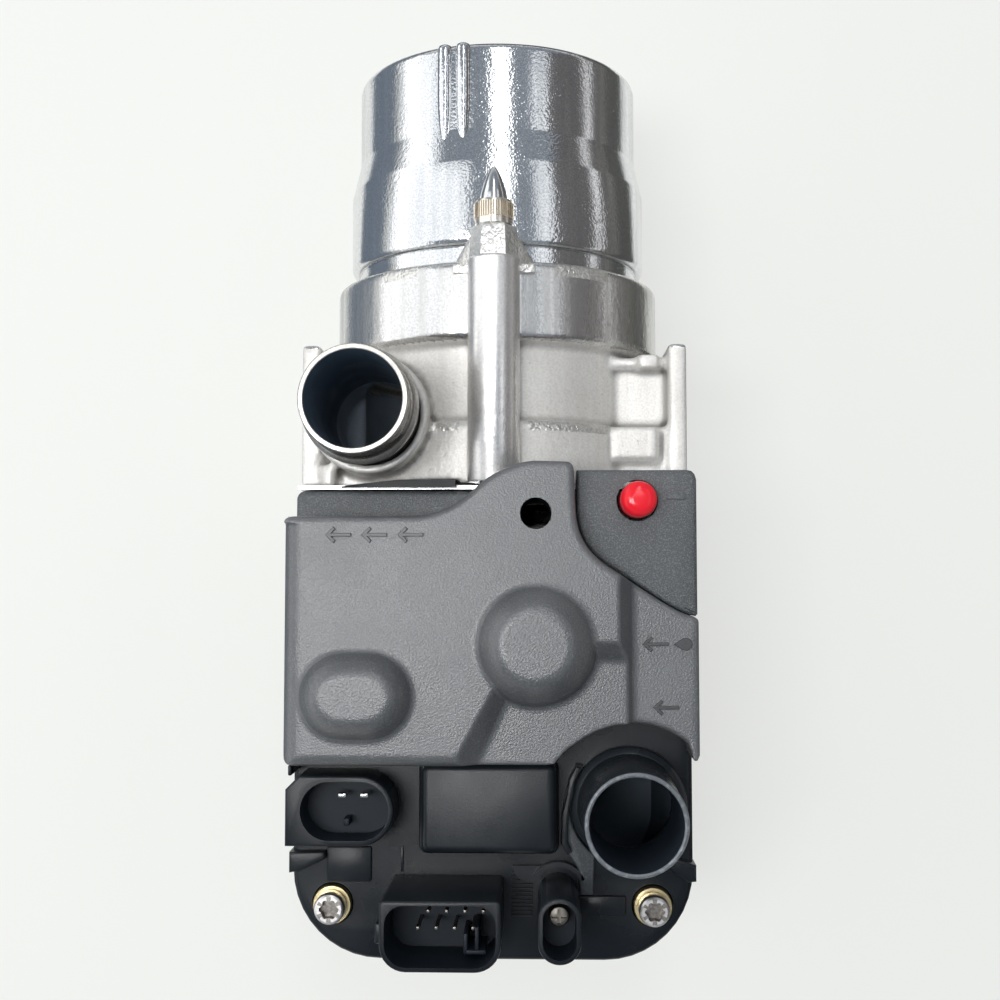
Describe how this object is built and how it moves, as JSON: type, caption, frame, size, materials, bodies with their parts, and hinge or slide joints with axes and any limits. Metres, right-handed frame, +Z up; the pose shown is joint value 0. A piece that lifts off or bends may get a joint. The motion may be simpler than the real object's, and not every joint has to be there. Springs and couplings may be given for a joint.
{
  "type": "diesel coolant heater",
  "caption": "Diesel coolant heater lying on its back, with a bright jacket can, a cast body with exhaust pipe and coolant ports, and a black blower housing with air pipe and sockets.",
  "frame": {"origin": "on the surface that the heater lies on, under the middle of its outer box", "axes": "+Y runs along the jacket can towards its closed end; +Z points up, the way the pipes and sockets point; +X is to the right when +Y points away"},
  "size_m": [0.0916, 0.2124, 0.11],
  "materials": {
    "bright_cast": "bright, almost a mirror, with faint pits",
    "satin_cast": "satin die cast",
    "steel": "plain machined",
    "brass": "satin",
    "winding": "laminated core with copper winding",
    "seal_rubber": "matte black",
    "housing_plastic": "black, half gloss",
    "cover_plastic": "dark grey, fine grain",
    "grained_plastic": "black grey, coarse grain",
    "red_cap": "glossy red",
    "circuit_board": "green lacquer",
    "ceramic": "fired ceramic",
    "metal_fleece": "porous, matte"
  },
  "bodies": {
    "heater": {"jacket_can": "bright_cast", "flame_cup": "satin_cast", "heat_exchanger_body": "satin_cast", "exhaust_pipe": "satin_cast", "channel_plate": "satin_cast", "chamber_lid": "satin_cast", "burner_tube": "steel", "burner_head": "steel", "through_bolt": "steel", "burner_plate": "steel", "overheat_sensor": "steel", "fuel_pipe": "steel", "corner_screw_1": "steel", "corner_screw_2": "steel", "capacitor_1": "steel", "capacitor_2": "steel", "aux_contact": "steel", "pump_blade_1": "steel", "pump_blade_2": "steel", "harness_pin_1": "steel", "harness_pin_2": "steel", "harness_pin_3": "steel", "harness_pin_4": "steel", "harness_pin_5": "steel", "harness_pin_6": "steel", "harness_pin_7": "steel", "harness_pin_8": "steel", "motor_can": "steel", "knurled_insert": "brass", "corner_sleeve_1": "brass", "corner_sleeve_2": "brass", "bearing_low": "brass", "bearing_high": "brass", "jacket_seal_ring": "seal_rubber", "body_gasket": "seal_rubber", "blower_housing": "housing_plastic", "air_intake_pipe": "housing_plastic", "pump_socket": "housing_plastic", "harness_socket": "housing_plastic", "aux_socket": "housing_plastic", "control_unit_cover": "cover_plastic", "fuel_side_cover": "grained_plastic", "magnet_ring": "grained_plastic", "control_board": "circuit_board", "glow_plug": "ceramic", "evaporator_fleece": "metal_fleece"},
    "blower_rotor": {"impeller": "grained_plastic", "armature": "winding", "motor_shaft": "steel"},
    "fuel_cap": {"fuel_pipe_cap": "red_cap"}
  },
  "joints": [
    {"name": "blower_spin", "type": "hinge", "parent": "heater", "child": "blower_rotor", "pos_m": [0.0099, -0.0347, 0.07], "axis": [0, 0, 1], "continuous": true},
    {"name": "fuel_cap_pull", "type": "slide", "parent": "heater", "child": "fuel_cap", "axis": [0, 0, 1], "range_m": [0, 0.012]}
  ]
}
